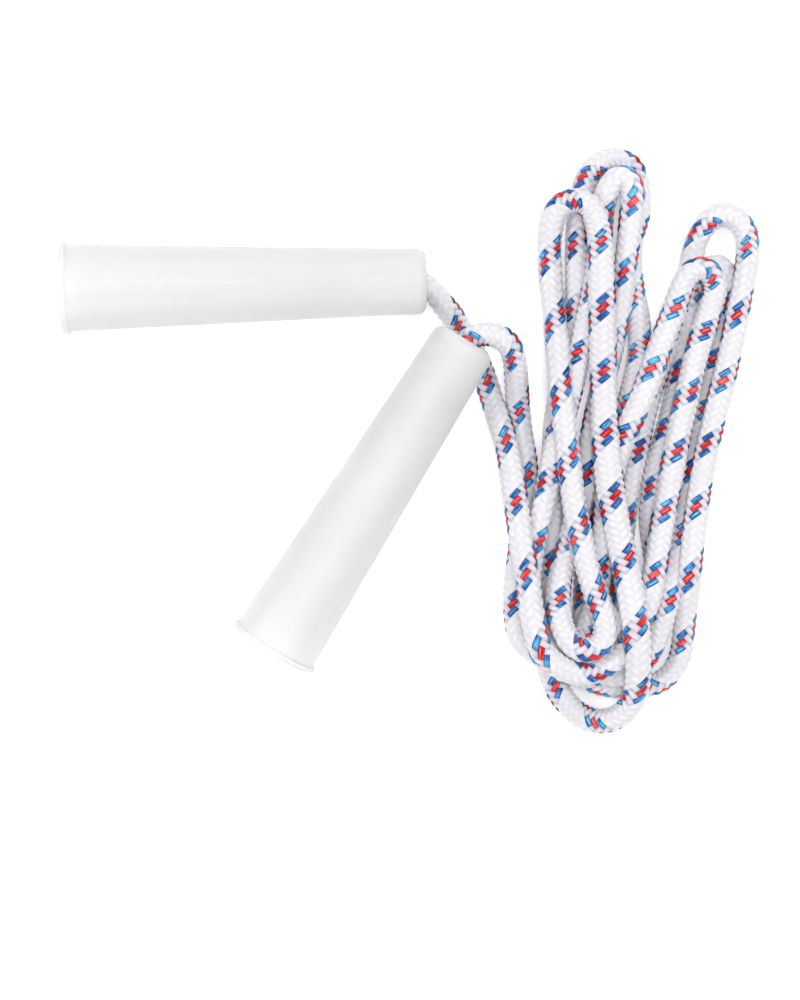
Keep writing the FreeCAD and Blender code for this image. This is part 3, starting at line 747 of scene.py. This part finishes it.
def melted_tip(obj, end, axis, radius):
    """Rounds a cut end off with a melted bead, lobed where the yarns ran together."""
    axis = axis / np.linalg.norm(axis)
    side = np.cross(axis, (0.0, 0.0, 1.0))
    side = side / np.linalg.norm(side)
    up = np.cross(side, axis)
    mesh = obj.data
    base = len(mesh.vertices)
    rings, around = 9, 28
    prof = [(-0.0012, 0.98), (-0.0004, 1.07), (0.0003, 1.12), (0.0010, 1.06), (0.0015, 0.92), (0.0019, 0.72), (0.00215, 0.48), (0.0023, 0.24), (0.00235, 0.08)]
    verts, faces = [], []
    for i, (d, r) in enumerate(prof):
        for j in range(around):
            a = 2 * math.pi * j / around
            rr = radius * r * (1 + 0.045 * math.sin(5 * a + 0.6 * i) + 0.03 * math.sin(9 * a + 1.1 * i))
            verts.append(end + axis * (d + 0.00022 * math.sin(3 * a + i)) + side * (rr * math.sin(a)) + up * (rr * math.cos(a)))
    for i in range(rings - 1):
        for j in range(around):
            k = (j + 1) % around
            faces.append((i * around + j, i * around + k, (i + 1) * around + k, (i + 1) * around + j))
    faces.append(tuple(range(around))[::-1])
    faces.append(tuple((rings - 1) * around + j for j in range(around)))
    m = bpy.data.meshes.new(obj.name + "_bead")
    m.from_pydata([tuple(v) for v in verts], [], faces)
    m.materials.append(MELTED)
    m.polygons.foreach_set("use_smooth", [True] * len(m.polygons))
    m.update()
    bead = bpy.data.objects.new(obj.name + "_melted_end", m)
    scene.collection.objects.link(bead)
    return bead


def make_end(tag, face, axis, depth):
    axis = axis / np.linalg.norm(axis)
    to = local(face, axis, depth)
    knot, _ = free_rope("stopper_knot_in_handle_" + tag, [to(p) for p in KNOT], 0.0034)
    t0 = depth + KNOT_HALF - 0.0015
    pts = [face + axis * (t0 + d) for d in (0.0, 0.004, 0.008, 0.0118)]
    tail, _ = free_rope("rope_tail_in_handle_" + tag, pts, 0.0036)
    bead = melted_tip(tail, face + axis * (t0 + 0.0100), axis, 0.0036)
    return knot, tail, bead


knot_a, tail_a, bead_a = make_end("a", FACE_A, AXIS_A, KNOT_A_DEPTH)
knot_b, tail_b, bead_b = make_end("b", FACE_B, AXIS_B, KNOT_B_DEPTH)

# ------------------------------------------------------------------ what moves with what
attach(rope, "rope")
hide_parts("rope_hank", "rope_lead_a", "rope_lead_b")
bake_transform(core_a)
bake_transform(core_b)
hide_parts("rope_core_a")
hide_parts("rope_core_b")
for tag, knot, tail, bead in (("a", knot_a, tail_a, bead_a), ("b", knot_b, tail_b, bead_b)):
    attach(knot, "rope_end_" + tag)
    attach(tail, "rope_end_" + tag)
    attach(bead, "rope_end_" + tag)
    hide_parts("stopper_knot_" + tag)
    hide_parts("rope_tail_" + tag)

rope_length = float(lengths(rope_centre)[-1])

# ------------------------------------------------------------------ floor and light
floor_mesh = bpy.data.meshes.new("floor")
floor_mesh.from_pydata([(-1.6, -1.6, 0), (1.6, -1.6, 0), (1.6, 1.6, 0), (-1.6, 1.6, 0)], [], [(0, 1, 2, 3)])
floor = bpy.data.objects.new("floor", floor_mesh)
scene.collection.objects.link(floor)
fm, fnt, fb = new_material("floor_paper")
fco = fnt.nodes.new("ShaderNodeTexCoord")
fn = fnt.nodes.new("ShaderNodeTexNoise")
fn.inputs["Scale"].default_value = 900.0
fnt.links.new(fco.outputs["Object"], fn.inputs["Vector"])
fnt.links.new(ramp(fnt, fn.outputs["Fac"], [(0.3, (0.93, 0.93, 0.935)), (0.7, (0.95, 0.95, 0.955))]), fb.inputs["Base Color"])
fb.inputs["Roughness"].default_value = 0.9
fb.inputs["Emission Color"].default_value = (1.0, 1.0, 1.0, 1.0)
fb.inputs["Emission Strength"].default_value = 0.30
floor_mesh.materials.append(fm)

world = bpy.data.worlds.new("studio")
world.use_nodes = True
bg = world.node_tree.nodes["Background"]
bg.inputs["Color"].default_value = (0.96, 0.965, 1.0, 1.0)
bg.inputs["Strength"].default_value = 0.20
scene.world = world


def area(name, location, size, power, color, aim):
    d = bpy.data.lights.new(name, "AREA")
    d.shape = "RECTANGLE"
    d.size, d.size_y = size
    d.energy = power
    d.color = color
    o = bpy.data.objects.new(name, d)
    o.location = location
    v = np.array(aim) - np.array(location)
    v = v / np.linalg.norm(v)
    o.rotation_euler = (math.acos(max(-1.0, min(1.0, -v[2]))), 0.0, math.atan2(v[1], v[0]) + math.pi / 2 + math.pi)
    scene.collection.objects.link(o)
    return o


area("top_softbox", (0.10, 0.08, 1.05), (0.34, 0.34), 3.5, (1.0, 0.995, 0.985), (0.04, 0.0, 0.0))
area("right_softbox", (0.86, 0.16, 0.58), (0.45, 0.60), 4.4, (1.0, 0.995, 0.985), (0.04, 0.0, 0.0))
area("left_softbox", (-0.78, 0.10, 0.58), (0.45, 0.60), 4.2, (1.0, 1.0, 1.0), (0.04, 0.0, 0.0))
area("far_softbox", (0.0, 0.82, 0.58), (0.60, 0.45), 3.6, (1.0, 1.0, 1.0), (0.03, 0.0, 0.0))
area("near_softbox", (0.06, -0.80, 0.58), (0.60, 0.45), 4.2, (1.0, 1.0, 1.0), (0.03, 0.0, 0.0))

scene.view_settings.view_transform = "Standard"
scene.view_settings.look = "None"
scene.view_settings.exposure = 0.0
scene.view_settings.gamma = 1.0
